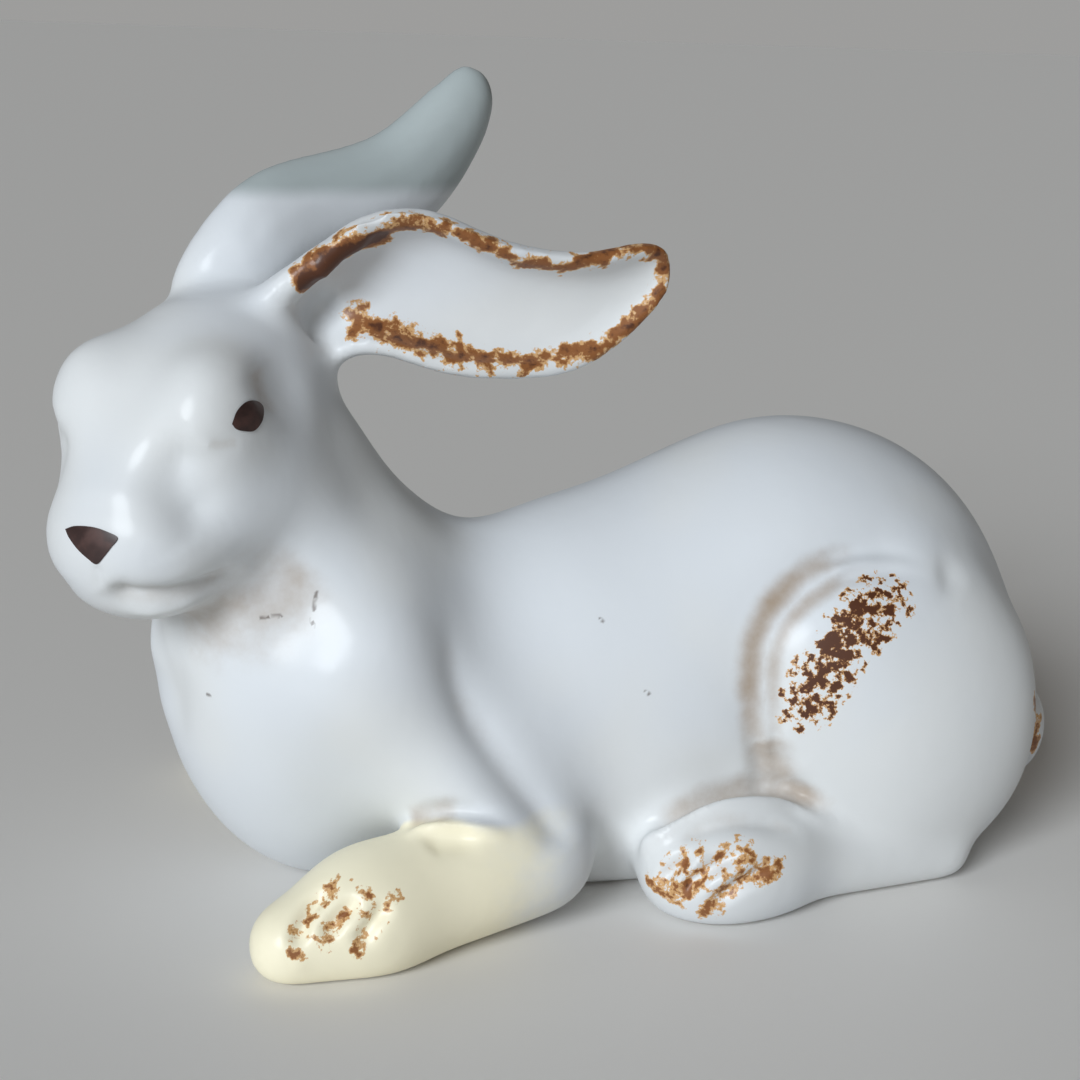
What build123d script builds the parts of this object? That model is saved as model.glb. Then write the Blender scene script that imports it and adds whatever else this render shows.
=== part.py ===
from build123d import *
import os
import numpy as np

# A glazed stoneware rabbit, lying down with its head turned to its left.
# Millimetres. The rabbit faces -X, its left side is -Y and +Z is up.
# The origin is the middle of the flat underside that the body stands on.

# Driving sizes of the body
BODY_LENGTH = 170.0
BODY_WIDTH = 80.0
BODY_HEIGHT = 79.0
BODY_BLEND = 14.0
BODY_WALL = 4.8
BASE_WALL = 5.0
DRAIN_DIAMETER = 16.0
NECK_ROOT_DIAMETER = 47.0
NECK_TOP_DIAMETER = 33.0
NECK_BORE = 16.0
SHOULDER_DIAMETER = 30.0
UPPER_ARM_DIAMETER = 22.0
MUSCLE_BLEND = 6.0

# Driving sizes of the head
HEAD_LENGTH = 62.0
HEAD_WIDTH = 42.0
HEAD_HEIGHT = 50.0
HEAD_TURN = 48.0
HEAD_NOD = 36.0
HEAD_BLEND = 9.0
HEAD_WALL = 4.5
EYE_LENGTH = 6.4
EYE_HEIGHT = 5.2
EYE_TILT = 35.0
NOSE_WIDTH = 10.0
NOSE_HEIGHT = 6.8
NOSE_BULGE = 0.4
ENAMEL_THICKNESS = 0.4
ENAMEL_GAP = 0.05

# Driving sizes of the ears
EAR_LENGTH = 70.0
EAR_WIDTH = 25.5
EAR_DEPTH = 10.0
EAR_WALL = 5.0
EAR_WRAP = 105.0

# Driving sizes of the legs, feet and tail
FORELEG_LENGTH = 42.5
FORELEG_TURN = 14.5
ELBOW_DIAMETER = 22.5
WRIST_DIAMETER = 20.0
PAW_DIAMETER = 15.0
INSTEP_DIAMETER = 17.0
HEEL_DIAMETER = 13.6
TOE_PAD_LENGTH = 32.0
TOE_PAD_WIDTH = 25.0
TOE_PAD_HEIGHT = 21.0
LIMB_BLEND = 6.0
TAIL_LENGTH = 16.0
TAIL_WIDTH = 15.0
TAIL_HEIGHT = 22.0

# How finely the round forms are drawn
SECTIONS = 19
RAYS = 32
EAR_POINTS = 13

# Centre and half sizes of each round form of the body, as shares of its length, width and height
rump_shares = ((0.279, 0.0, 0.462), (0.253, 0.450, 0.525))
seat_shares = ((0.371, 0.0, 0.266), (0.182, 0.425, 0.342))
loin_shares = ((0.053, 0.0, 0.329), (0.224, 0.400, 0.487))
chest_shares = ((-0.218, 0.0, 0.422), (0.168, 0.350, 0.445))
haunch_shares = ((0.347, 0.281, 0.354), (0.168, 0.231, 0.392))

# Places on the body, as shares of its length, width and height
neck_root_shares = (-0.247, 0.0, 0.557)
head_place_shares = (-0.341, -0.0375, 1.013)
shoulder_shares = (-0.206, 0.200, 0.570)
upper_arm_shares = (-0.071, 0.362, 0.203)
elbow_shares = (-0.053, 0.394, 0.158)
toe_pad_shares = (0.147, 0.425, 0.108)
instep_shares = (0.206, 0.419, 0.101)
heel_shares = (0.397, 0.375, 0.070)
tail_shares = (0.574, 0.0, 0.184)

# Round forms of the head and places on it, as shares of its length, width and height
cranium_shares = ((0.0, 0.0, 0.030), (0.403, 0.476, 0.370))
muzzle_shares = ((0.274, 0.0, -0.270), (0.250, 0.393, 0.280))
cheek_shares = ((-0.032, 0.214, -0.200), (0.274, 0.286, 0.280))
brow_shares = ((0.226, 0.250, 0.110), (0.145, 0.179, 0.130))
neck_top_shares = (-0.063, 0.140, -0.080)
eye_shares = (0.245, 0.438, 0.132)
nose_shares = (0.500, 0.0, -0.246)

# The foreleg's middle joint, along its length, and the height of the paw, of its diameter
wrist_share = 0.70
paw_rise_share = 0.34

# Each ear: its root on the head, then slices from root to tip. A slice gives its place along,
# beside and above the root as shares of the ear's length, its lean as a share of a quarter
# turn, then its width and its depth as shares of the ear's own.
left_root_shares = (-0.121, 0.233, 0.240)
left_slice_shares = (
    (0.000, 0.000, 0.000, 0.63, 0.86, 0.85),
    (0.041, -0.020, 0.061, 0.50, 0.80, 0.95),
    (0.099, -0.040, 0.106, 0.34, 0.79, 1.00),
    (0.181, -0.060, 0.143, 0.17, 0.89, 1.00),
    (0.284, -0.075, 0.149, 0.07, 1.00, 1.00),
    (0.424, -0.085, 0.123, -0.02, 0.97, 0.92),
    (0.581, -0.090, 0.097, -0.04, 0.87, 0.82),
    (0.703, -0.090, 0.106, 0.03, 0.78, 0.72),
    (0.793, -0.085, 0.140, 0.06, 0.69, 0.62),
    (0.859, -0.080, 0.177, 0.09, 0.54, 0.50),
    (0.895, -0.078, 0.194, 0.12, 0.38, 0.38),
    (0.914, -0.076, 0.203, 0.14, 0.18, 0.22),
)
left_opening_shares = (0.10, -1.00, -0.10)
right_root_shares = (-0.212, -0.186, 0.250)
right_slice_shares = (
    (0.000, 0.000, 0.000, 0.84, 0.81, 0.85),
    (0.026, 0.014, 0.089, 0.77, 0.82, 0.95),
    (0.069, 0.029, 0.167, 0.64, 0.86, 1.00),
    (0.143, 0.057, 0.231, 0.49, 0.90, 1.00),
    (0.257, 0.114, 0.279, 0.36, 0.88, 0.97),
    (0.379, 0.157, 0.320, 0.31, 0.83, 0.92),
    (0.496, 0.186, 0.381, 0.39, 0.78, 0.82),
    (0.573, 0.193, 0.464, 0.47, 0.69, 0.72),
    (0.621, 0.193, 0.543, 0.57, 0.56, 0.60),
    (0.646, 0.193, 0.597, 0.67, 0.43, 0.48),
    (0.656, 0.193, 0.630, 0.70, 0.30, 0.36),
    (0.661, 0.193, 0.647, 0.72, 0.14, 0.20),
)
right_opening_shares = (-0.30, 1.00, 0.10)
rim_fullness_share = 0.6

# How near to its ends a round form is drawn, as a share of the half turn from end to end
end_share = 0.01

# Working values
BODY = (BODY_LENGTH, BODY_WIDTH, BODY_HEIGHT)
HEAD = (HEAD_LENGTH, HEAD_WIDTH, HEAD_HEIGHT)
FAR = BODY_LENGTH + HEAD_LENGTH + EAR_LENGTH
UPRIGHT = np.eye(3)


def turned_axes(turn, nod):
    """Forward, left and up of something turned to its left and tipped nose down."""
    turn, nod = np.radians((turn, nod))
    ahead = np.array((-np.cos(turn), -np.sin(turn), 0))
    left = np.array((np.sin(turn), -np.cos(turn), 0))
    forward = np.cos(nod) * ahead - np.sin(nod) * UPRIGHT[2]
    return np.array((forward, left, np.cross(forward, left)))


def on_body(shares):
    """A place on the body's right side, or a size, from shares of its sizes."""
    return np.array(shares) * np.array(BODY)


def on_head(shares):
    """A place on the head, from shares forward, left and up of its centre."""
    return on_body(head_place_shares) + np.array(shares) * HEAD @ turned_axes(HEAD_TURN, 0)


def egg(points, centre, half, axes=UPRIGHT):
    """About how far points lie outside an ellipsoid with half sizes along its axes."""
    local = (points - centre) @ axes.T + np.finfo(float).eps
    near = np.linalg.norm(local / half, axis=-1)
    slope = np.linalg.norm(local / np.square(half), axis=-1)
    return near * (near - 1) / slope


def limb(points, start, end, start_radius, end_radius):
    """How far points lie outside a round limb that tapers from its start to its end."""
    run = end - start
    share = np.clip((points - start) @ run / (run @ run), 0, 1)
    middle = start + share[..., None] * run
    radius = start_radius + (end_radius - start_radius) * share
    return np.linalg.norm(points - middle, axis=-1) - radius


def blend(first, second, width):
    """Two forms modelled together, with a soft valley of the given width between them."""
    share = np.clip((1 + (second - first) / width) / 2, 0, 1)
    return second + (first - second) * share - width * share * (1 - share)


def body_form(points):
    """Rump, seat, loin, chest and neck, with a haunch and a shoulder on each side."""
    form = egg(points, *map(on_body, rump_shares))
    for shares in (seat_shares, loin_shares, chest_shares):
        form = blend(form, egg(points, *map(on_body, shares)), BODY_BLEND)
    neck_radii = NECK_ROOT_DIAMETER / 2, NECK_TOP_DIAMETER / 2
    neck = limb(points, on_body(neck_root_shares), on_head(neck_top_shares), *neck_radii)
    form = blend(form, neck, BODY_BLEND)
    sided = np.concatenate((points[..., :1], abs(points[..., 1:2]), points[..., 2:]), axis=-1)
    form = blend(form, egg(sided, *map(on_body, haunch_shares)), MUSCLE_BLEND)
    arm_radii = SHOULDER_DIAMETER / 2, UPPER_ARM_DIAMETER / 2
    arm = limb(sided, on_body(shoulder_shares), on_body(upper_arm_shares), *arm_radii)
    return blend(form, arm, MUSCLE_BLEND)


def head_form(points):
    """Cranium and muzzle, with a cheek and a brow on each side."""
    axes = turned_axes(HEAD_TURN, HEAD_NOD)
    place, half = cranium_shares
    form = egg(points, on_head(place), np.array(half) * HEAD, axes)
    place, half = muzzle_shares
    form = blend(form, egg(points, on_head(place), np.array(half) * HEAD, axes), HEAD_BLEND)
    for (forward, side, up), half in (cheek_shares, brow_shares):
        for hand in (-1, 1):
            place = on_head((forward, hand * side, up))
            form = blend(form, egg(points, place, np.array(half) * HEAD, axes), HEAD_BLEND)
    return form


def foreleg_places():
    """Elbow, wrist and paw of the right foreleg, which spreads a little from the body."""
    elbow = on_body(elbow_shares)
    spread = np.radians(FORELEG_TURN)
    paw = elbow + FORELEG_LENGTH * np.array((-np.cos(spread), np.sin(spread), 0))
    paw[2] = paw_rise_share * PAW_DIAMETER
    return elbow, elbow + wrist_share * (paw - elbow), paw


def foreleg_form(points):
    """Forearm and paw of the right foreleg."""
    elbow, wrist, paw = foreleg_places()
    forearm = limb(points, elbow, wrist, ELBOW_DIAMETER / 2, WRIST_DIAMETER / 2)
    return blend(forearm, limb(points, wrist, paw, WRIST_DIAMETER / 2, PAW_DIAMETER / 2), LIMB_BLEND)


def hind_foot_form(points):
    """Long sole of the right hind foot, from its heel to the broad pad of its toes."""
    pad, instep, heel = map(on_body, (toe_pad_shares, instep_shares, heel_shares))
    half = np.array((TOE_PAD_LENGTH / 2, TOE_PAD_WIDTH / 2, TOE_PAD_HEIGHT - pad[2]))
    sole = limb(points, heel, instep, HEEL_DIAMETER / 2, INSTEP_DIAMETER / 2)
    return blend(sole, egg(points, pad, half), LIMB_BLEND)


def tail_form(points):
    """The upturned tail."""
    half = np.array((TAIL_LENGTH, TAIL_WIDTH, TAIL_HEIGHT)) / 2
    return egg(points, on_body(tail_shares), half)


def surface_places(form, start, directions, offset):
    """Where rays from a place inside a form first come out of it."""
    steps = np.linspace(0, FAR, 4 * RAYS)
    outside = np.stack([form(start + step * directions) > offset for step in steps])
    high = steps[np.argmax(outside, axis=0)]
    low = high - steps[1]
    for _ in range(RAYS):
        middle = (low + high) / 2
        is_out = form(start + middle[..., None] * directions) > offset
        high = np.where(is_out, middle, high)
        low = np.where(is_out, low, middle)
    return start + low[..., None] * directions


def ring_of_rays(count, first, second):
    """Directions evenly spread round a full turn, from the first direction to the second."""
    turns = np.linspace(0, 2 * np.pi, count, endpoint=False)[:, None]
    return np.cos(turns) * first + np.sin(turns) * second


def closed_wire(points):
    """A smooth closed outline through points that are evenly shared round it."""
    shares = [float(share) for share in np.linspace(0, 1, len(points) + 1)]
    corners = [Vector(*point) for point in points]
    return Wire([Edge.make_spline(corners, periodic=True, parameters=shares)])


def modelled(form, middle, axes, offset=0):
    """A solid with a form's surface, or that surface offset, from outlines across its axis.

    It ends in a tiny flat at each end, where the outlines draw together."""
    long, side, up = axes
    fan = surface_places(form, middle, ring_of_rays(4 * RAYS, long, up), offset)
    back = fan[np.argmin(fan @ long)]
    front = fan[np.argmax(fan @ long)]
    rays = ring_of_rays(RAYS, up, side)
    outlines = []
    for turn in np.pi * np.linspace(end_share, 1 - end_share, SECTIONS):
        centre = back + (front - back) * (1 - np.cos(turn)) / 2
        outlines.append(closed_wire(surface_places(form, centre, rays, offset)))
    return Solid.make_loft(outlines)


def ground(height):
    """Everything below a height."""
    block = Box(2 * FAR, 2 * FAR, FAR, align=(Align.CENTER, Align.CENTER, Align.MAX))
    return Pos(0, 0, height) * block


def main_solid(shape):
    """The largest solid of a cut shape."""
    return max(shape.solids(), key=lambda solid: solid.volume)


def neck_bore():
    """The way that the casting slip takes between the body and the head."""
    start = on_body(neck_root_shares)
    rise = on_body(head_place_shares) - start
    way = Plane(tuple(start), z_dir=tuple(rise))
    return Solid.make_cylinder(NECK_BORE / 2, np.linalg.norm(rise), way)


def body(outside, head_outside):
    """The cast body: an even wall, a flat base with a drain hole, and an open neck."""
    cavity = modelled(body_form, on_body(loin_shares[0]), UPRIGHT, -BODY_WALL) - ground(BASE_WALL)
    drain = Cylinder(DRAIN_DIAMETER / 2, 2 * BODY_WALL + 2 * BASE_WALL)
    drain = Pos(on_body(rump_shares[0])[0], 0, 0) * drain
    return main_solid(outside - cavity - drain - head_outside - neck_bore())


def modelled_head(offset=0):
    """The head's surface, or that surface offset."""
    return modelled(head_form, on_head(cranium_shares[0]), turned_axes(HEAD_TURN, HEAD_NOD), offset)


def head(outside):
    """The cast head, hollow and open to the neck."""
    return main_solid(outside - modelled_head(-HEAD_WALL) - neck_bore())


def ear_slice(centre, lean, opening, width, depth, wall):
    """One outline of an ear: the outside of its curved wall from rim to rim, and the inside back."""
    along = np.array((np.cos(lean), 0, np.sin(lean)))
    out = opening - along * (opening @ along)
    out = out / np.linalg.norm(out)
    across = np.cross(along, out)
    wrap = np.radians(EAR_WRAP)
    curves = []
    for start, hand in ((0, 1), (np.pi, -1)):
        places = []
        for turn in np.linspace(start, start + np.pi, EAR_POINTS):
            swing = wrap * np.cos(turn)
            rise = hand * wall / 2 * abs(np.sin(turn)) ** rim_fullness_share
            beside = ((width - wall) / 2 + rise) * np.sin(swing)
            behind = (depth - wall / 2 + rise) * np.cos(swing)
            places.append(Vector(*(centre + beside * across - behind * out)))
        rim = np.sin(wrap) * across - np.cos(wrap) * out
        other_rim = np.sin(wrap) * across + np.cos(wrap) * out
        ways = [Vector(*rim), Vector(*other_rim)][::hand]
        shares = [float(share) for share in np.linspace(0, 1, EAR_POINTS)]
        curves.append(Edge.make_spline(places, tangents=ways, parameters=shares))
    return Wire(curves)


def ear(root_shares, slice_shares, opening_shares, head_outside):
    """A cupped ear from its root on the head to its tip, with a wall that thins to the tip."""
    root = on_head(root_shares)
    outlines = []
    for *place, lean, width, depth in slice_shares:
        centre = root + np.array(place) * EAR_LENGTH
        size = width * EAR_WIDTH, depth * EAR_DEPTH, np.sqrt(depth) * EAR_WALL
        outlines.append(ear_slice(centre, lean * np.pi / 2, np.array(opening_shares), *size))
    return main_solid(Solid.make_loft(outlines) - head_outside)


def luted(outside, body_outside):
    """A leg or foot of the given outside, cut to the body that it is luted to and to the ground."""
    return main_solid(outside - body_outside - ground(0))


def tail(body_outside):
    """The tail, upturned against the rump."""
    return main_solid(modelled(tail_form, on_body(tail_shares), UPRIGHT) - body_outside)


def enamel_spot(shares, outline, turn, enamel_inside, enamel_outside):
    """A spot of the given outline, between the inside and the outside of a coat on the head."""
    middle = on_head(cranium_shares[0])
    direction = on_head(shares) - middle
    direction = direction / np.linalg.norm(direction)
    place = surface_places(head_form, middle, direction[None], 0)[0]
    steps = ENAMEL_THICKNESS * UPRIGHT
    slopes = head_form(place + steps) - head_form(place - steps)
    outwards = Plane(tuple(place), x_dir=tuple(np.cross(UPRIGHT[2], slopes)), z_dir=tuple(slopes))
    block = outwards * Rot(0, 0, turn) * extrude(outline, EYE_LENGTH / 2, both=True)
    return main_solid((block - enamel_inside) & enamel_outside)


def eye_outline():
    """A rounded almond, pointed at the corner towards the nose."""
    back = EYE_LENGTH / 2
    half = EYE_HEIGHT / 2
    lid = Edge.make_three_point_arc(Vector(-back, 0), Vector(0, half), Vector(back, 0))
    lower = Edge.make_three_point_arc(Vector(back, 0), Vector(0, -half), Vector(-back, 0))
    return Face(Wire([lid, lower]))


def nose_outline():
    """A soft triangle with its point down."""
    half = NOSE_WIDTH / 2
    rise = NOSE_HEIGHT / 2
    corners = [Vector(-half, rise), Vector(half, rise), Vector(0, -rise)]
    beside = half / 2 + NOSE_BULGE
    bulges = [Vector(0, rise + NOSE_BULGE), Vector(beside, -NOSE_BULGE), Vector(-beside, -NOSE_BULGE)]
    ends = corners[1:] + corners[:1]
    sides = [Edge.make_three_point_arc(*three) for three in zip(corners, bulges, ends)]
    return Face(Wire(sides))


def build_rabbit():
    """Every piece of the rabbit, by name."""
    body_outside = modelled(body_form, on_body(loin_shares[0]), UPRIGHT) - ground(0)
    head_outside = modelled_head()
    enamel = modelled_head(ENAMEL_GAP), modelled_head(ENAMEL_GAP + ENAMEL_THICKNESS)
    pieces = {"body": body(body_outside, head_outside), "head": head(head_outside)}
    left_ear = (left_root_shares, left_slice_shares, left_opening_shares)
    right_ear = (right_root_shares, right_slice_shares, right_opening_shares)
    pieces["ear_left"] = ear(*left_ear, head_outside)
    pieces["ear_right"] = ear(*right_ear, head_outside)
    wrist = foreleg_places()[1]
    foreleg = modelled(foreleg_form, wrist, turned_axes(-FORELEG_TURN, 0))
    hind_foot = modelled(hind_foot_form, on_body(instep_shares), turned_axes(0, 0))
    for name, right in (("foreleg", foreleg), ("hind_foot", hind_foot)):
        pieces[f"{name}_right"] = luted(right, body_outside)
        pieces[f"{name}_left"] = luted(mirror(right, about=Plane.XZ), body_outside)
    pieces["tail"] = tail(body_outside)
    forward, side, up = eye_shares
    for name, hand in (("eye_left", 1), ("eye_right", -1)):
        place = (forward, hand * side, up)
        pieces[name] = enamel_spot(place, eye_outline(), hand * EYE_TILT, *enamel)
    pieces["nose"] = enamel_spot(nose_shares, nose_outline(), 0, *enamel)
    return pieces


os.makedirs("parts", exist_ok=True)
for name, piece in build_rabbit().items():
    export_step(piece, f"parts/{name}.step")
    size = piece.bounding_box().size
    print(f"{name:16} {piece.volume / 1000:8.2f} cm3  {size.X:6.1f} x {size.Y:6.1f} x {size.Z:6.1f} mm")
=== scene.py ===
import bmesh
import bpy
import numpy as np
from mathutils import Matrix, Vector
from mathutils.bvhtree import BVHTree


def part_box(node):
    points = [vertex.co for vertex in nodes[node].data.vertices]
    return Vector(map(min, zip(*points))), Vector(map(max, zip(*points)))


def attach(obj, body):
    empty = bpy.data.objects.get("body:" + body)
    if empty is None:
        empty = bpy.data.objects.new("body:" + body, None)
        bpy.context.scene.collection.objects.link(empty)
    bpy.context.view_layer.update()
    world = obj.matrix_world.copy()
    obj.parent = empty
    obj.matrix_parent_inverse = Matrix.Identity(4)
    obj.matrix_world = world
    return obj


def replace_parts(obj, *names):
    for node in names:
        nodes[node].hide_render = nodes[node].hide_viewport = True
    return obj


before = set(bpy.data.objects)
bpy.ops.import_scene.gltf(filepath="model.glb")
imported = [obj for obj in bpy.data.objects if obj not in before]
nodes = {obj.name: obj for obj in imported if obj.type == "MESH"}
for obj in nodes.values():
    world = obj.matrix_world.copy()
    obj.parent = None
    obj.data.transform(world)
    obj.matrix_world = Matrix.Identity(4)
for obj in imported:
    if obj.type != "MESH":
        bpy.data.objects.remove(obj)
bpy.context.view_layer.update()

# The rabbit stands on a plain pale shelf in a soft studio light. The camera looks a little
# down on it from ahead of its left shoulder. Lengths are given in millimetres, times mm.
mm = 0.001
scene = bpy.context.scene

PHOTO_SIDE = 1080
LENS = 60
SENSOR = 36
PHOTO_FOCUS = PHOTO_SIDE * LENS / SENSOR
HEADING, PITCH, ROLL = np.radians((16, 15.6, 1.9))
CAMERA_AIM = np.array((0, 0, 57 * mm))
CAMERA_DISTANCE = 321 * mm
back = np.array((-np.sin(HEADING) * np.cos(PITCH), -np.cos(HEADING) * np.cos(PITCH), np.sin(PITCH)))
level = np.array((np.cos(HEADING), -np.sin(HEADING), 0))
plumb = np.cross(back, level)
across = level * np.cos(ROLL) + plumb * np.sin(ROLL)
upwards = plumb * np.cos(ROLL) - level * np.sin(ROLL)
eye_point = CAMERA_AIM + CAMERA_DISTANCE * back

camera = bpy.data.objects.new("camera", bpy.data.cameras.new("camera"))
camera.data.lens = LENS
camera.data.sensor_width = SENSOR
camera.data.clip_start = 10 * mm
axes = Matrix((across, upwards, back)).transposed().to_4x4()
camera.matrix_world = Matrix.Translation(eye_point) @ axes
scene.collection.objects.link(camera)
scene.camera = camera
scene.view_settings.view_transform = "Standard"


def added(name, shape, smooth=True):
    """A new object from a bmesh, standing at the origin."""
    mesh = bpy.data.meshes.new(name)
    shape.to_mesh(mesh)
    shape.free()
    mesh.polygons.foreach_set("use_smooth", [smooth] * len(mesh.polygons))
    thing = bpy.data.objects.new(name, mesh)
    scene.collection.objects.link(thing)
    return thing


def lamp(name, place, spread, power, tone):
    """A far soft lamp that faces the rabbit from the side of a place, with its spread in degrees."""
    light = bpy.data.objects.new(name, bpy.data.lights.new(name, "SUN"))
    light.data.angle = np.radians(spread)
    light.data.energy = power
    light.data.color = tone
    light.rotation_mode = "QUATERNION"
    light.rotation_quaternion = Vector(place).to_track_quat("Z", "Y")
    scene.collection.objects.link(light)


lamp("window", (-3.75, -3.55, 2.5), 25, 2.6, (0.90, 0.95, 1.0))
lamp("reflector", (-1.0, -4.4, 1.2), 40, 0.2, (1.0, 0.97, 0.93))
lamp("back_fill", (1.4, 3.4, 3.4), 45, 0.10, (1.0, 0.98, 0.95))

SHELF_REACH = 400
SHELF_COLOUR = (0.80, 0.785, 0.76, 1)
plane = bmesh.new()
bmesh.ops.create_grid(plane, x_segments=1, y_segments=1, size=SHELF_REACH)
floor = added("floor", plane, False)
paint = bpy.data.materials.new("floor_paint")
paint.use_nodes = True
board = paint.node_tree.nodes["Principled BSDF"]
board.inputs["Base Color"].default_value = SHELF_COLOUR
board.inputs["Roughness"].default_value = 0.6
floor.data.materials.append(paint)

# Behind the shelf the camera sees a card of the shelf's own tone, while a dim warm dome
# lights the rabbit from all around.
DOME_COLOUR = (1.0, 0.95, 0.88, 1)
DOME_STRENGTH = 0.09
CARD_COLOUR = (0.340, 0.338, 0.333, 1)
sky = bpy.data.worlds.new("studio")
sky.use_nodes = True
scene.world = sky
air = sky.node_tree
dome = air.nodes["Background"]
dome.inputs["Color"].default_value = DOME_COLOUR
dome.inputs["Strength"].default_value = DOME_STRENGTH
card = air.nodes.new("ShaderNodeBackground")
card.inputs["Color"].default_value = CARD_COLOUR
path = air.nodes.new("ShaderNodeLightPath")
either = air.nodes.new("ShaderNodeMixShader")
air.links.new(path.outputs["Is Camera Ray"], either.inputs[0])
air.links.new(dome.outputs[0], either.inputs[1])
air.links.new(card.outputs[0], either.inputs[2])
air.links.new(either.outputs[0], air.nodes["World Output"].inputs["Surface"])

# The nine castings and press-mouldings of white stoneware are luted together wet and
# sponged over, so that the clay is one skin before it is carved. The slip was poured out
# of the body through a drain hole in its base, which is cut again further on.
CASTINGS = (
    "body", "head", "ear_left", "ear_right", "foreleg_left", "foreleg_right",
    "hind_foot_left", "hind_foot_right", "tail",
)
DRAIN_PLACE = np.array((47.43 * mm, 0, 0))
DRAIN_RADIUS = 8 * mm
STOPPER_RADIUS = 1.2 * DRAIN_RADIUS
BASE_WALL = 5 * mm
GRAIN = 0.75 * mm

clay = bmesh.new()
for name in CASTINGS:
    clay.from_mesh(nodes[name].data)
bmesh.ops.remove_doubles(clay, verts=clay.verts, dist=0.001 * mm)
stopper = Matrix.Translation(DRAIN_PLACE + np.array((0, 0, BASE_WALL / 2)))
bmesh.ops.create_cone(
    clay, cap_ends=True, segments=48, radius1=STOPPER_RADIUS, radius2=STOPPER_RADIUS,
    depth=BASE_WALL, matrix=stopper,
)
raw = added("raw_clay", clay)
knead = raw.modifiers.new("knead", "REMESH")
knead.mode = "VOXEL"
knead.voxel_size = GRAIN
skin = bpy.data.meshes.new_from_object(raw.evaluated_get(bpy.context.evaluated_depsgraph_get()))
bpy.data.objects.remove(raw)

# Air bubbles left in the clay are small shells of their own. They are closed, and only the
# largest shell, the outer skin, is kept.
clay = bmesh.new()
clay.from_mesh(skin)
rest = set(clay.verts)
shells = []
while rest:
    shell = set()
    front = {next(iter(rest))}
    while front:
        shell |= front
        front = {edge.other_vert(vert) for vert in front for edge in vert.link_edges} - shell
    rest -= shell
    shells.append(shell)
shells.sort(key=len)
for shell in shells[:-1]:
    bmesh.ops.delete(clay, geom=list(shell), context="VERTS")
clay.to_mesh(skin)
clay.free()

place = np.empty(len(skin.vertices) * 3)
skin.vertices.foreach_get("co", place)
place = place.reshape(-1, 3)
edges = np.empty(len(skin.edges) * 2, int)
skin.edges.foreach_get("vertices", edges)
edges = edges.reshape(-1, 2)
corners = np.empty(len(skin.loops), int)
skin.loops.foreach_get("vertex_index", corners)
corners = corners.reshape(-1, 4)
links = np.bincount(edges.ravel(), minlength=len(place))


def spread_out(values, net=edges):
    """The mean of the values at the neighbours of each point of the skin."""
    columns = []
    for column in values.reshape(len(values), -1).T:
        total = np.bincount(net[:, 0], column[net[:, 1]], len(values))
        total += np.bincount(net[:, 1], column[net[:, 0]], len(values))
        columns.append(total / links)
    return np.stack(columns, axis=1).reshape(values.shape)


def sponge(share, passes):
    """Evens the clay out, at each point by its share."""
    global place
    net = edges[(share[edges] > 0).any(axis=1)]
    for _ in range(passes):
        place = place + share[:, None] * (spread_out(place, net) - place)


# Each face of the skin belongs to the casting that it lies nearest to, and the borders
# between castings are evened out so that they run smoothly.
BORDER_PASSES = 8
middles = place[corners].mean(axis=1)
belongs = np.zeros(len(corners), int)
nearest = np.full(len(corners), np.inf)
for index, name in enumerate(CASTINGS):
    low, high = (np.array(corner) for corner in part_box(name))
    inside = np.all((middles > low - 2 * GRAIN) & (middles < high + 2 * GRAIN), axis=1)
    mesh = nodes[name].data
    finder = BVHTree.FromPolygons([v.co for v in mesh.vertices], [p.vertices for p in mesh.polygons])
    for face in np.flatnonzero(inside):
        gap = finder.find_nearest(middles[face])[3]
        if gap < nearest[face]:
            nearest[face] = gap
            belongs[face] = index
owner = np.zeros((len(place), len(CASTINGS)))
for corner in corners.T:
    np.add.at(owner, (corner, belongs), 1)
luted = ((owner > 0).sum(axis=1) > 1).astype(float)
owner = owner / owner.sum(axis=1, keepdims=True)
for _ in range(BORDER_PASSES):
    owner = spread_out(owner)
belongs = owner[corners].sum(axis=1).argmax(axis=1)

# Sponging rounds the joints most, and takes little from the thin ears.
JOINT_REACH = 9
JOINT_SOFTENING = 4
ears = owner[:, CASTINGS.index("ear_left")] + owner[:, CASTINGS.index("ear_right")] > 0.5
joint = luted.copy()
for _ in range(JOINT_REACH):
    joint = np.maximum(joint, spread_out(joint))
joint = np.clip(joint * 1.4, 0, 1)
for _ in range(JOINT_SOFTENING):
    joint = spread_out(joint)
sponge(np.where(ears, 0.15, 0.5), 14)
sponge(0.6 * joint, 60)
sponge(np.where(ears, 0.12, 0.5), 30)
place[:, 2] = np.maximum(place[:, 2], 0)

# The soft clay is pressed at the nape, the ears and the breast to the outline in the
# photograph. A pull names a pixel, by how many pixels its spot goes to the right and down,
# and how far round it the clay gives way.
SOFT_PULLS = (
    ((334, 400), (-6, 2), 9 * mm), ((372, 478), (-7, 6), 9 * mm), ((200, 280), (-12, 5), 9 * mm),
    ((275, 175), (-4, -6), 13 * mm), ((180, 700), (9, 0), 12 * mm), ((472, 105), (9, 0), 9 * mm),
    ((380, 235), (-3, -9), 10 * mm), ((440, 225), (0, -8), 9 * mm), ((560, 265), (0, -5), 9 * mm),
    ((652, 262), (6, -1), 8 * mm), ((560, 362), (0, 5), 9 * mm), ((460, 360), (0, 6), 9 * mm),
)


def outward():
    """The direction out of the clay at each point."""
    first, second, third, fourth = (place[corners[:, turn]] for turn in range(4))
    slope = np.cross(third - first, fourth - second)
    total = np.zeros_like(place)
    for corner in corners.T:
        for axis in range(3):
            total[:, axis] += np.bincount(corner, slope[:, axis], len(place))
    return total / np.linalg.norm(total, axis=1, keepdims=True)


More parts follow.
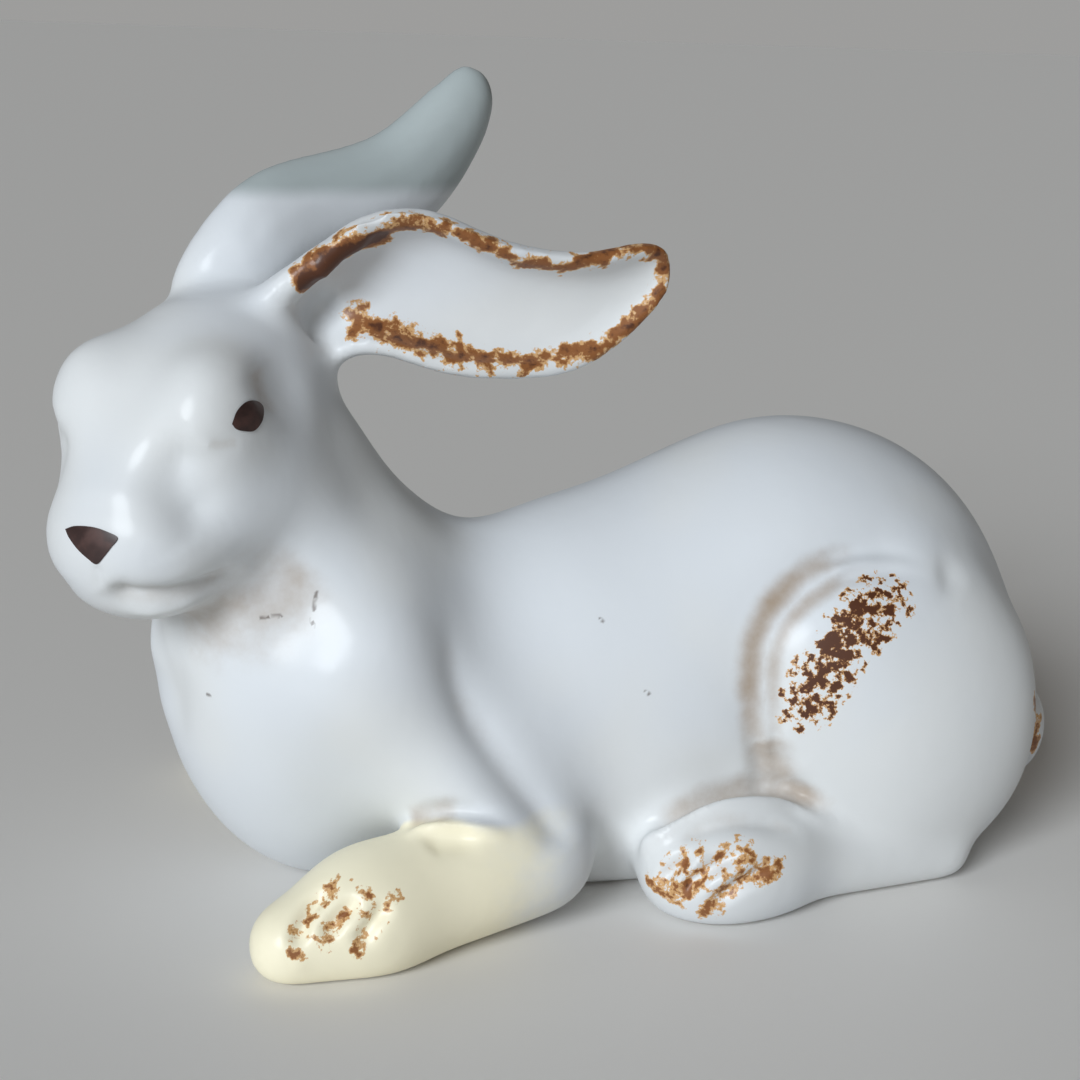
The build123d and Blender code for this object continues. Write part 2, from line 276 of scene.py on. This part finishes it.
def look():
    """Looks the clay over again, for which way it faces and what a ray meets."""
    global facing, surface
    facing = outward()
    surface = BVHTree.FromPolygons(place.tolist(), corners.tolist())


def seen(pixels):
    """Where the camera sees the clay at pixels of the photograph, leaving out those beside it."""
    found = []
    for u, v in pixels:
        sight = across * (u - PHOTO_SIDE / 2) - upwards * (v - PHOTO_SIDE / 2) - back * PHOTO_FOCUS
        spot = surface.ray_cast(Vector(eye_point), Vector(sight))[0]
        if spot is not None:
            found.append(spot)
    return np.array(found)


def pull(pixel, shift, reach):
    """Pulls the clay about a pixel's spot by so many pixels to the right and down."""
    spot = seen([pixel])[0]
    scale = (eye_point - spot) @ back / PHOTO_FOCUS
    way = (across * shift[0] - upwards * shift[1]) * scale
    weight = np.exp(-np.square(np.linalg.norm(place - spot, axis=1) / reach))
    place[:] += weight[:, None] * way


look()
for pixel, shift, reach in SOFT_PULLS:
    pull(pixel, shift, reach)
look()

# Each thigh is a broad swelling of the body that ends ahead in a rolled bead between two
# fine grooves. They are drawn in the clay with a looped tool, alike on both flanks.
RUNS = 6
THIGH_OUTER = ((772, 800), (760, 760), (752, 715), (751, 670), (758, 632), (778, 597), (812, 566),
               (850, 551), (893, 550), (932, 566))
THIGH_INNER = ((786, 798), (778, 760), (774, 715), (773, 675), (779, 642), (797, 613), (826, 588),
               (861, 574), (900, 572), (940, 584))
THIGH_TAIL = ((931, 567), (950, 577), (967, 593))
THIGH_FOOT = ((768, 742), (772, 765), (780, 785), (800, 798), (830, 806))
THIGH_TOP = (850, 640)


def smooth_line(points):
    """A smooth line through points, with so many short runs between each two."""
    points = np.array(points, float)
    padded = np.vstack((2 * points[0] - points[1], points, 2 * points[-1] - points[-2]))
    share = np.linspace(0, 1, RUNS, endpoint=False)[:, None]
    line = []
    for before, start, end, after in zip(padded, padded[1:], padded[2:], padded[3:]):
        line.append(start + share * (end - before) / 2
                    + share ** 2 * (2 * before - 5 * start + 4 * end - after) / 2
                    + share ** 3 * (3 * start - before - 3 * end + after) / 2)
    return np.vstack((*line, points[-1:]))


def drawn(*pixels):
    """A smooth line on the clay through pixels of the photograph."""
    return seen(smooth_line(pixels))


def beside(line, reach):
    """The points of the skin within reach of a line, how far from it and how far along it they are."""
    low = line.min(axis=0) - reach
    high = line.max(axis=0) + reach
    near = np.flatnonzero(np.all((place > low) & (place < high), axis=1))
    away = np.full(len(near), np.inf)
    along = np.zeros(len(near))
    for step, (start, end) in enumerate(zip(line, line[1:])):
        run = end - start
        share = np.clip((place[near] - start) @ run / (run @ run), 0, 1)
        gap = place[near] - start - share[:, None] * run
        far = np.linalg.norm(gap, axis=1)
        closer = far < away
        away[closer] = far[closer]
        along[closer] = (step + share[closer]) / (len(line) - 1)
    kept = away < reach
    return near[kept], away[kept], along[kept]


def fading(along, start, end):
    """Full along the middle of a line and nothing at its ends, over a share of it at each."""
    share = np.ones(len(along))
    if start:
        share = np.minimum(share, along / start)
    if end:
        share = np.minimum(share, (1 - along) / end)
    return share * share * (3 - 2 * share)


def groove(line, width, depth, start=0.15, end=0.15):
    """A round groove along a line, or a bead where the depth is less than nothing."""
    near, away, along = beside(line, 2.5 * width)
    cut = depth * np.exp(-np.square(away / width)) * fading(along, start, end)
    place[near] -= cut[:, None] * facing[near]


def swell(spots, reach, height):
    """A soft swelling round each spot, or a hollow where the height is less than nothing."""
    for spot in spots:
        away = np.linalg.norm(place - spot, axis=1)
        near = away < 2.5 * reach
        rise = height * np.exp(-np.square(away[near] / reach))
        place[near] += rise[:, None] * facing[near]


def near_side(line):
    """A line where it was drawn."""
    return line


def mirrored(line, middle=np.zeros(3), side=np.array((0, 1, 0))):
    """The same line on the other side of the rabbit, or of another middle plane."""
    crossed = line - 2 * ((line - middle) @ side)[:, None] * side
    return np.array([surface.find_nearest(Vector(spot))[0] for spot in crossed])


def carve(strokes, *sides):
    """Makes all strokes on each side in turn. A stroke is a tool, its line and the tool's own sizes."""
    for side in sides:
        for tool, line, *sizes in strokes:
            tool(side(line), *sizes)


outer = drawn(*THIGH_OUTER)
inner = drawn(*THIGH_INNER)
carve((
    (groove, outer, 1.8 * mm, 1.2 * mm, 0.1, 0.3),
    (groove, inner, 1.5 * mm, 0.9 * mm, 0.1, 0.3),
    (groove, (outer + inner) / 2, 1.3 * mm, -0.5 * mm, 0.1, 0.3),
    (groove, outer, 6 * mm, 1.1 * mm),
    (groove, drawn(*THIGH_TAIL), 3.5 * mm, 0.7 * mm, 0.5, 0.5),
    (groove, drawn(*THIGH_FOOT), 3.5 * mm, 1.2 * mm, 0.3, 0.3),
    (swell, seen([THIGH_TOP]), 11 * mm, 1.1 * mm),
), near_side, mirrored)
look()

# Each hind foot is a press-moulding with a ridge along its top and a valley above that. The
# toes are parted by three grooves, with a low bead on each toe between them.
FOOT_RIDGE = ((636, 860), (656, 838), (692, 815), (741, 805), (784, 807), (815, 817), (858, 832))
FOOT_VALLEY = ((648, 836), (669, 818), (710, 797), (752, 787), (784, 788), (813, 799), (856, 820))
INSTEP = ((662, 854), (690, 834), (720, 823), (750, 820), (782, 824), (810, 835))
TOE_GROOVES = (((694, 853), (676, 868), (656, 884)), ((745, 850), (706, 872), (674, 898)),
               ((776, 868), (742, 884), (708, 910)))
TOES = (((712, 852), (690, 868), (666, 890)), ((764, 858), (725, 876), (690, 904)))
foot_valley = drawn(*FOOT_VALLEY)
instep = drawn(*INSTEP)
toe_grooves = [drawn(*pixels) for pixels in TOE_GROOVES]
carve((
    (groove, foot_valley, 1.8 * mm, 1.8 * mm, 0.2, 0.45),
    (groove, drawn(*FOOT_RIDGE), 1.5 * mm, -1.7 * mm, 0.15, 0.4),
    (groove, instep, 2.2 * mm, 1.4 * mm, 0.3, 0.3),
    *((groove, line, 1.2 * mm, 1.5 * mm, 0.3, 0.3) for line in toe_grooves),
    *((groove, drawn(*pixels), 1.3 * mm, -0.6 * mm, 0.3, 0.3) for pixels in TOES),
), near_side, mirrored)
look()

# The shoulders are part of the body and end behind in a soft crease that runs down to the
# elbow. The forelegs are luted on below them, each with a ridge along its forearm and three
# grooves between its toes.
FLANK = ((520, 715), (560, 680), (620, 650), (690, 610))
SHOULDER_CREASE = ((456, 590), (450, 650), (467, 704), (488, 738), (512, 771), (545, 812), (562, 836),
                   (570, 852))
SHOULDER_SIDE = (400, 645)
SHOULDER_TOPS = ((328, 690), (368, 720))
NECK_HOLLOW = (290, 632)
FOREARM_RIDGE = ((402, 841), (424, 830), (458, 824), (490, 829), (514, 839))
FOREARM_VALLEY = ((404, 825), (418, 818), (436, 813), (460, 812), (486, 817), (510, 828))
UNDER_RIDGE = ((424, 849), (440, 843), (462, 841), (486, 846))
PAW_GROOVES = (((338, 882), (312, 905), (300, 930), (298, 955)), ((362, 896), (338, 918), (322, 942)),
               ((392, 898), (372, 925), (356, 950)))


def soothe(line, reach, passes):
    """Sponges the clay smooth along a line."""
    near, away, _ = beside(line, 2 * reach)
    share = np.zeros(len(place))
    share[near] = 0.8 * np.exp(-np.square(away / reach))
    sponge(share, passes)


shoulder_crease = drawn(*SHOULDER_CREASE)
forearm_valley = drawn(*FOREARM_VALLEY)
paw_grooves = [drawn(*pixels) for pixels in PAW_GROOVES]
carve((
    (soothe, drawn(*FLANK), 13 * mm, 220),
    (groove, shoulder_crease, 4.5 * mm, 1.4 * mm, 0.4, 0.25),
    (groove, shoulder_crease, 2.5 * mm, 0.8 * mm, 0.4, 0.25),
    (swell, seen([SHOULDER_SIDE]), 8 * mm, 1.0 * mm),
    (groove, forearm_valley, 1.7 * mm, 1.4 * mm, 0.4, 0.4),
    (groove, drawn(*UNDER_RIDGE), 2.2 * mm, 0.8 * mm, 0.3, 0.4),
    (groove, drawn(*FOREARM_RIDGE), 1.4 * mm, -1.5 * mm, 0.35, 0.4),
    (swell, seen(SHOULDER_TOPS), 7 * mm, 1.0 * mm),
    (swell, seen([NECK_HOLLOW]), 8 * mm, -1.2 * mm),
    *((groove, line, 1.3 * mm, 1.4 * mm, 0.3, 0.3) for line in paw_grooves),
), near_side, mirrored)
look()

# The face is modelled in the head's clay on both sides of its middle plane, since the head
# is turned to the camera. The far cheek and the far end of the mouth are shallower, so that
# the outline of the face stays plain.
HEAD_MIDDLE = np.array((-58, -3, 80)) * mm
HEAD_TURN = np.radians(48)
EYE_MIDDLE = (249, 416)
BROW_TOP = (205, 376)
UNDER_BROW = ((250, 362), (262, 376), (270, 396), (268, 420))
SOCKET = (284, 388)
TEAR_LINE = ((244, 440), (222, 445), (203, 441))
CHEEK_VALLEY = ((203, 440), (186, 455), (178, 474), (186, 494), (200, 512), (213, 530), (220, 552))
CHEEK_TOP = (252, 488)
CHEEK_BACK = (298, 505)
CHEEK_EVENING = ((214, 468), (234, 480))
WHISKER_PAD = (165, 548)
NOSE_BRIDGE = ((135, 395), (122, 440), (112, 485), (106, 512))
MOUTH = ((102, 584), (114, 593), (130, 599), (152, 600), (178, 597), (206, 588), (230, 576), (244, 563))
LIP_LINE = ((120, 609), (142, 613), (168, 610), (194, 603), (218, 594))
CLEFT = ((97, 566), (99, 580), (104, 596))
FACE_PULLS = (
    ((54, 442), (11, 0), 4.5 * mm), ((156, 642), (-6, 4), 5 * mm), ((166, 692), (12, 0), 8 * mm),
)
head_side = np.array((np.sin(HEAD_TURN), -np.cos(HEAD_TURN), 0))


def far_side(line):
    """A line of the face on its other side."""
    return mirrored(line, HEAD_MIDDLE, head_side)


under_brow = drawn(*UNDER_BROW)
tear_line = drawn(*TEAR_LINE)
cheek_valley = drawn(*CHEEK_VALLEY)
mouth = drawn(*MOUTH)
carve((
    (swell, seen([EYE_MIDDLE]), 6 * mm, -0.5 * mm),
    (swell, seen([BROW_TOP]), 7 * mm, 1.7 * mm),
    (swell, seen([SOCKET]), 5.5 * mm, -1.8 * mm),
    (groove, under_brow, 3.5 * mm, 0.9 * mm, 0.4, 0.4),
    (groove, tear_line, 1.3 * mm, 0.35 * mm, 0.4, 0.4),
), near_side, far_side)
carve((
    (groove, mouth, 2.5 * mm, 2.4 * mm, 0.25, 0.3),
    (groove, far_side(mouth), 2.4 * mm, 0.5 * mm, 0.6, 0.4),
    (groove, drawn(*LIP_LINE), 1.5 * mm, -0.6 * mm, 0.4, 0.4),
    (swell, seen([CHEEK_TOP]), 9 * mm, 0.5 * mm),
    (swell, seen([CHEEK_BACK]), 8 * mm, 1.2 * mm),
    (groove, cheek_valley, 5 * mm, 2.6 * mm, 0.25, 0.4),
    (groove, far_side(cheek_valley), 5 * mm, 0.8 * mm, 0.25, 0.4),
    (swell, seen([WHISKER_PAD]), 7 * mm, 0.5 * mm),
    (groove, drawn(*NOSE_BRIDGE), 7 * mm, -0.3 * mm, 0.4, 0.3),
    (groove, drawn(*CLEFT), 0.9 * mm, 0.4 * mm, 0.1, 0.4),
), near_side)
look()
for pixel, shift, reach in FACE_PULLS:
    pull(pixel, shift, reach)
soothe(drawn(*CHEEK_EVENING), 3 * mm, 25)
look()

# Each ear is a cupped press-moulding. The near one rises from the head in a thick band, its
# bowl starts in a valley behind that, and a bar of clay lies along the start of its upper rim.
EAR_ROOT = ((258, 300), (285, 277), (312, 254))
BAND = ((258, 322), (284, 299), (312, 273), (345, 247))
BOWL_START = ((309, 339), (313, 330), (316, 318), (325, 303), (343, 292))
BAR = ((309, 278), (320, 268), (334, 258), (349, 249), (363, 242), (378, 236))
bar = drawn(*BAR)
carve((
    (soothe, drawn(*EAR_ROOT), 4 * mm, 60),
    (groove, drawn(*BAND), 4 * mm, -1.4 * mm, 0.3, 0.3),
    (groove, drawn(*BOWL_START), 2.5 * mm, 1.8 * mm, 0.3, 0.3),
    (groove, bar, 2.0 * mm, -1.0 * mm, 0.2, 0.3),
), near_side)
look()

# Iron wash is brushed on the raw glaze. It settles beige in the folds, and where it is thick
# it breaks to rust: on the near ear's rims, the toes, the thigh and the tail. The same beige is
# also laid as painted shade along the jaw, the mouth and the shoulder crease, and under the brow,
# where it is partly stain and partly painted shade. The forelegs get a dip of cream, and the top
# of the far ear is painted grey as a painted reflection. Each coat is kept as a thickness on the clay.
UPPER_RIM = ((400, 224), (430, 228), (460, 234), (490, 248), (520, 262), (550, 268), (575, 265),
             (610, 251), (640, 247), (660, 254))
RIM_TIP = ((655, 251), (664, 268), (655, 298), (635, 323), (610, 340))
LOWER_RIM = ((615, 337), (585, 350), (560, 356), (530, 361), (500, 361), (470, 358), (440, 350),
             (410, 340), (380, 330), (356, 322))
LOWER_ROOT = ((470, 357), (440, 349), (410, 340), (380, 330), (358, 323))
BAR_FRINGE = ((318, 268), (340, 250), (366, 236), (400, 221))
TAIL_EDGE = ((1034, 700), (1037, 720), (1036, 745))
SPECKLES = ((884, 600), (862, 622), (846, 642), (832, 664), (818, 684), (806, 702))
FLECKS = (((600, 619), (604, 621)), ((646, 691), (650, 694)), ((207, 695), (210, 696)),
          ((311, 620), (314, 626)), ((261, 617), (281, 616)), ((316, 592), (314, 610)))
JAW = ((150, 640), (200, 625), (245, 608), (290, 580), (325, 545))
ANKLE = ((762, 730), (768, 752), (776, 772), (784, 788))
FOREARM_UNWASHED = 10
CREAM_END = 6 * mm
CREAM_FADE = 28 * mm
# Where the painted dark reflection on the far ear starts, and over how much height it fades in.
REFLECTION_START = (270, 212)
REFLECTION_FADE = 5 * mm
WIPED_EDGE = 0.5 * mm
coats = {name: np.zeros(len(place)) for name in ("rust", "wash_and_shade", "speckle", "fleck")}


def brushed(coat, line, width, strength, fade=0):
    """Lays a coat along a line, thickest in the middle."""
    near, away, along = beside(line, 2 * width)
    laid = strength * np.exp(-np.square(away / width)) * fading(along, fade, fade)
    coats[coat][near] = np.maximum(coats[coat][near], laid)


for coat, lines, width, strength in (
    ("rust", [drawn(*pixels) for pixels in (UPPER_RIM, RIM_TIP, LOWER_RIM)], 2.2 * mm, 0.85),
    ("rust", [drawn(*LOWER_ROOT)], 3.2 * mm, 0.9),
    ("rust", [drawn(*BAR_FRINGE)], 2.6 * mm, 0.6),
    ("rust", [bar], 2.2 * mm, 2.6),
    ("rust", toe_grooves, 2.6 * mm, 0.68),
    ("rust", paw_grooves, 2.2 * mm, 0.52),
    ("rust", [drawn(*TAIL_EDGE)], 1.6 * mm, 0.8),
    ("speckle", [drawn(*SPECKLES)], 4.4 * mm, 0.85),
    ("fleck", [drawn(*pixels) for pixels in FLECKS], 0.45 * mm, 1),
):
    for line in lines:
        brushed(coat, line, width, strength)

# The last stretch of the thigh's grooves and the end of the forearm's valley get no beige.
for line, width, strength in (
    (outer[:-RUNS], 2.6 * mm, 0.95),
    (inner[:-RUNS], 2.0 * mm, 0.65),
    (drawn(*ANKLE), 4.5 * mm, 0.65),
    (foot_valley, 2.6 * mm, 0.8),
    (instep, 1.8 * mm, 0.5),
    (forearm_valley[:-FOREARM_UNWASHED], 2.6 * mm, 0.6),
    # Painted shade: beige laid in the shoulder crease, under the brow (partly a real stain there), along the
    # mouth and along the jaw.
    (shoulder_crease, 3 * mm, 0.35),
    (under_brow, 3.5 * mm, 0.6),
    (tear_line, 1.5 * mm, 0.3),
    (mouth, 2.6 * mm, 0.6),
    (drawn(*JAW), 10 * mm, 0.5),
):
    brushed("wash_and_shade", line, width, strength, 0.25)

forelegs = owner[:, CASTINGS.index("foreleg_left")] + owner[:, CASTINGS.index("foreleg_right")]
coats["cream"] = 0.9 * forelegs * np.clip((CREAM_END - place[:, 0]) / CREAM_FADE, 0, 1)
# Painted reflection: the far ear turns darker grey above a given height.
reflection_start = seen([REFLECTION_START])[0][2]
far_ear = owner[:, CASTINGS.index("ear_right")]
coats["painted_reflection"] = far_ear * np.clip((place[:, 2] - reflection_start) / REFLECTION_FADE, 0, 1)
coats["bare"] = np.clip(1 - place[:, 2] / WIPED_EDGE, 0, 1) * (facing[:, 2] < -0.6)

# The glaze is a satin white with a cool cast, thin enough for the clay to warm it here and
# there. It pools and pits a little, and the coats are fired into it, among them painted shade
# and a painted reflection. The base is wiped bare.
WHITE = (0.72, 0.755, 0.79, 1)
WARM_WHITE = (0.745, 0.765, 0.77, 1)
# The grey is a painted dark reflection on the top of the far ear.
REFLECTION_GREY = (0.42, 0.475, 0.48, 1)
CREAM = (0.97, 0.91, 0.69, 1)
# The beige is the iron stain in the folds, and also painted shade at the jaw, mouth, brow and shoulder
# crease.
BEIGE_WASH_AND_SHADE = (0.37, 0.28, 0.20, 1)
TAN = (0.66, 0.39, 0.17, 1)
BROWN = (0.27, 0.10, 0.028, 1)
MAHOGANY = (0.09, 0.028, 0.010, 1)
CLAY = (0.66, 0.60, 0.52, 1)
SOOT = (0.10, 0.07, 0.055, 1)

# A thin coat's name, the fineness and the strength of its unevenness, the thickness at which
# it starts to show and at which it covers, and its colour
THIN_COATS = (
    ("painted_reflection", 60, 0.2, 0.25, 0.9, REFLECTION_GREY),
    ("cream", 90, 0.5, 0.25, 0.8, CREAM),
    ("wash_and_shade", 160, 0.5, 0.12, 0.95, BEIGE_WASH_AND_SHADE),
)

# Rust darkens as it gets thicker, over these thicknesses
RUST_TONES = ((0.40, 0.52, TAN), (0.55, 0.75, BROWN), (0.85, 1.3, MAHOGANY))


def linked(tree, kind, inputs, **settings):
    """A shader node with its settings, its values and what feeds it."""
    knot = tree.nodes.new(kind)
    for name, value in settings.items():
        setattr(knot, name, value)
    for name, value in inputs.items():
        if isinstance(value, bpy.types.NodeSocket):
            tree.links.new(value, knot.inputs[name])
        else:
            knot.inputs[name].default_value = value
    return knot


def cloud(tree, scale, detail=2, roughness=0.5):
    """Cloudy unevenness in the piece's own space, finer where its scale is larger."""
    coordinates = linked(tree, "ShaderNodeTexCoord", {}).outputs["Object"]
    inputs = {"Vector": coordinates, "Scale": scale, "Detail": detail, "Roughness": roughness}
    return linked(tree, "ShaderNodeTexNoise", inputs).outputs["Fac"]


def graded(tree, value, low, high, least=0, most=1):
    """A soft step from least to most, while a value goes from low to high."""
    inputs = {"Value": value, "From Min": low, "From Max": high, "To Min": least, "To Max": most}
    return linked(tree, "ShaderNodeMapRange", inputs, interpolation_type="SMOOTHSTEP").outputs["Result"]


def worked(tree, operation, first, second):
    """A sum, product or the like of two values."""
    return linked(tree, "ShaderNodeMath", {0: first, 1: second}, operation=operation).outputs[0]


def coloured(tree, share, first, second):
    """A mix of two colours."""
    inputs = {"Factor": share, 6: first, 7: second}
    return linked(tree, "ShaderNodeMix", inputs, data_type="RGBA").outputs[2]


def laid_on(tree, coat):
    """How thick a coat lies on the clay."""
    return linked(tree, "ShaderNodeAttribute", {}, attribute_name=coat).outputs["Fac"]


def broken(tree, coat, scale, reach, detail=5):
    """How thick a coat lies, broken up by fine unevenness."""
    thickness = laid_on(tree, coat)
    uneven = worked(tree, "SUBTRACT", cloud(tree, scale, detail, 0.62), 0.5)
    laid = graded(tree, thickness, 0.02, 0.25, 0, reach)
    return worked(tree, "ADD", thickness, worked(tree, "MULTIPLY", uneven, laid))


def glaze(name):
    """The glaze of a casting, with the coats that are fired into it, painted shade and reflection among
    them.
    """
    coat = bpy.data.materials.new(name)
    coat.use_nodes = True
    tree = coat.node_tree
    finish = tree.nodes["Principled BSDF"]
    colour = coloured(tree, graded(tree, cloud(tree, 24), 0.4, 0.62), WHITE, WARM_WHITE)
    for thin_coat, scale, reach, low, high, tone in THIN_COATS:
        laid = graded(tree, broken(tree, thin_coat, scale, reach), low, high)
        colour = coloured(tree, laid, colour, tone)
    specked = broken(tree, "speckle", 600, 5.5, 9)
    rusted = worked(tree, "MAXIMUM", broken(tree, "rust", 420, 2.8, 7), specked)
    for low, high, tone in RUST_TONES:
        colour = coloured(tree, graded(tree, rusted, low, high), colour, tone)
    colour = coloured(tree, graded(tree, specked, 0.55, 0.9), colour, MAHOGANY)
    colour = coloured(tree, graded(tree, laid_on(tree, "fleck"), 0.35, 0.9, 0, 0.75), colour, SOOT)
    unglazed = laid_on(tree, "bare")
    tree.links.new(coloured(tree, unglazed, colour, CLAY), finish.inputs["Base Color"])
    satin = graded(tree, cloud(tree, 60, 3), 0.3, 0.7, 0.5, 0.6)
    rough = worked(tree, "ADD", satin, worked(tree, "MULTIPLY", unglazed, 0.4))
    tree.links.new(rough, finish.inputs["Roughness"])
    tree.links.new(graded(tree, unglazed, 0, 1, 0.25, 0), finish.inputs["Coat Weight"])
    finish.inputs["Coat Roughness"].default_value = 0.2
    finish.inputs["Specular IOR Level"].default_value = 0.35
    waves = linked(tree, "ShaderNodeBump", {"Height": cloud(tree, 130, 3), "Strength": 0.12, "Distance": mm})
    tree.links.new(waves.outputs["Normal"], finish.inputs["Normal"])
    return coat


# Each casting is cut out of the skin as a piece of its own, with a lip that turns in at the
# joints and is closed inside. The body also gets its drain hole, under a closed chamber that
# stands for the lower part of its hollow.
LIP = 1.2 * mm
CHAMBER = ((8, 0), (8, 5), (17, 6), (24, 14), (25, 28), (18, 42), (7, 48))
CASTING_SLOTS = dict(zip(CASTINGS, (
    "glaze_body", "glaze_head", "glaze_ear", "glaze_ear", "glaze_foreleg", "glaze_foreleg",
    "glaze_foot", "glaze_foot", "glaze_tail",
)))
finishes = {slot: glaze(slot) for slot in dict.fromkeys(CASTING_SLOTS.values())}
skin.vertices.foreach_set("co", place.ravel())
for name, coat in coats.items():
    skin.attributes.new(name, "FLOAT", "POINT").data.foreach_set("value", coat)
skin.attributes.new("true_facing", "FLOAT_VECTOR", "POINT").data.foreach_set("vector", facing.ravel())


def cut_out(index):
    """One casting's part of the skin."""
    shape = bmesh.new()
    shape.from_mesh(skin)
    shape.faces.ensure_lookup_table()
    others = [shape.faces[face] for face in np.flatnonzero(belongs != index)]
    bmesh.ops.delete(shape, geom=others, context="FACES")
    return shape


def drained(shape):
    """Opens the drain hole in the body's base, below a chamber that is closed above."""
    drain = Vector(DRAIN_PLACE)
    hole = [face for face in shape.faces if face.normal.z < -0.5
            and (face.calc_center_median() - drain).length < DRAIN_RADIUS]
    bmesh.ops.delete(shape, geom=hole, context="FACES")
    ring = [edge for edge in shape.edges if edge.is_boundary
            and (edge.verts[0].co - drain).length < 1.3 * DRAIN_RADIUS]
    spots = {vert for edge in ring for vert in edge.verts}
    for reach, height in CHAMBER:
        if height:
            made = bmesh.ops.extrude_edge_only(shape, edges=ring)["geom"]
            ring = [edge for edge in made if isinstance(edge, bmesh.types.BMEdge)]
            spots = {vert for vert in made if isinstance(vert, bmesh.types.BMVert)}
        for vert in spots:
            way = (vert.co - drain) * Vector((1, 1, 0))
            vert.co = drain + way.normalized() * reach * mm + Vector((0, 0, height * mm))
    bmesh.ops.holes_fill(shape, edges=ring)


def lipped(shape):
    """Turns every open edge in and closes it."""
    shape.normal_update()
    true_facing = shape.verts.layers.float_vector["true_facing"]
    rim = [edge for edge in shape.edges if edge.is_boundary]
    made = bmesh.ops.extrude_edge_only(shape, edges=rim)["geom"]
    for vert in made:
        if isinstance(vert, bmesh.types.BMVert):
            vert.co -= LIP * vert[true_facing]
    inner_rim = [edge for edge in made if isinstance(edge, bmesh.types.BMEdge) and edge.is_boundary]
    caps = bmesh.ops.holes_fill(shape, edges=inner_rim)["faces"]
    bmesh.ops.triangulate(shape, faces=caps)


def finished(name, shape, slot):
    """A piece of the rabbit in its finish, shaded by the way that the whole skin faces."""
    thing = added(name, shape)
    facings = np.empty(len(thing.data.vertices) * 3, np.float32)
    thing.data.attributes["true_facing"].data.foreach_get("vector", facings)
    thing.data.attributes.remove(thing.data.attributes["true_facing"])
    thing.data.normals_split_custom_set_from_vertices(facings.reshape(-1, 3).tolist())
    thing.data.materials.append(finishes[slot])
    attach(thing, "root")
    return thing


for index, name in enumerate(CASTINGS):
    shape = cut_out(index)
    if name == "body":
        drained(shape)
    lipped(shape)
    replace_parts(finished(name + "_glazed", shape, CASTING_SLOTS[name]), name)
bpy.data.meshes.remove(skin)

# The eyes and the nose are spots of dark brown enamel, laid on the fired glaze with a brush.
# They are a little domed, follow the head's surface and are finished in a soft gloss.
EYE_OUTLINE = ((232, 424), (237, 411), (246, 402), (255, 401), (262, 406), (263, 415), (260, 424),
               (253, 431), (243, 431), (236, 429))
NOSE_OUTLINE = ((66, 529), (76, 526), (93, 527), (108, 532), (118, 538), (111, 548), (104, 557),
                (97, 564), (89, 559), (79, 550), (70, 538))
ENAMEL_RISE = 0.3 * mm
ENAMEL_CROWN = 1.6
RINGS = 6
DARK_ENAMEL = (0.036, 0.017, 0.015, 1)
LIGHT_ENAMEL = (0.075, 0.032, 0.026, 1)

enamel = bpy.data.materials.new("enamel_brown")
enamel.use_nodes = True
enamel_tree = enamel.node_tree
enamel_finish = enamel_tree.nodes["Principled BSDF"]
streaks = graded(enamel_tree, cloud(enamel_tree, 400, 4), 0.35, 0.7)
browns = coloured(enamel_tree, streaks, DARK_ENAMEL, LIGHT_ENAMEL)
enamel_tree.links.new(browns, enamel_finish.inputs["Base Color"])
enamel_tree.links.new(graded(enamel_tree, streaks, 0, 1, 0.35, 0.5), enamel_finish.inputs["Roughness"])
enamel_finish.inputs["Coat Weight"].default_value = 0.15
enamel_finish.inputs["Coat Roughness"].default_value = 0.3
finishes["enamel_brown"] = enamel


def enamel_spot(name, node, pixels, side=near_side):
    """A domed spot with its outline at pixels of the photograph."""
    border = smooth_line(pixels + pixels[:1])[:-1]
    middle = border.mean(axis=0)
    shape = bmesh.new()
    bmesh.ops.create_circle(shape, cap_ends=True, segments=len(border), radius=1)
    for _ in range(RINGS - 1):
        shape.faces.ensure_lookup_table()
        core = max(shape.faces, key=lambda face: len(face.verts))
        bmesh.ops.inset_individual(shape, faces=[core], thickness=1 / RINGS)
    verts = list(shape.verts)
    shares = np.array([vert.co.length for vert in verts])
    pixels_within = []
    for vert, share in zip(verts, shares):
        turn = np.arctan2(vert.co.y, vert.co.x) / (2 * np.pi) * len(border)
        # A turn that falls between two points of the border always takes the one before it.
        point = border[int(np.floor(turn + 0.25)) % len(border)]
        pixels_within.append(middle + share * (point - middle))
    for vert, share, spot in zip(verts, shares, side(seen(pixels_within))):
        away = surface.find_nearest(Vector(spot))[1]
        vert.co = Vector(spot) + away * ENAMEL_RISE * float(ENAMEL_CROWN - share ** 2)
    shape.normal_update()
    shape.faces.ensure_lookup_table()
    if shape.faces[0].normal.dot(surface.find_nearest(shape.faces[0].verts[0].co)[1]) < 0:
        bmesh.ops.reverse_faces(shape, faces=shape.faces)
        shape.normal_update()
    true_facing = shape.verts.layers.float_vector.new("true_facing")
    spots = np.array([vert.co for vert in shape.verts])
    low = spots.min(axis=0) - 3 * GRAIN
    high = spots.max(axis=0) + 3 * GRAIN
    near = np.flatnonzero(np.all((place > low) & (place < high), axis=1))
    for vert in shape.verts:
        weight = np.exp(-np.square(np.linalg.norm(place[near] - vert.co, axis=1) / GRAIN))
        vert[true_facing] = Vector(weight @ facing[near]).normalized()
    lipped(shape)
    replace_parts(finished(name, shape, "enamel_brown"), node)


enamel_spot("eye_left_enamel", "eye_left", EYE_OUTLINE)
enamel_spot("eye_right_enamel", "eye_right", EYE_OUTLINE, far_side)
enamel_spot("nose_enamel", "nose", NOSE_OUTLINE)
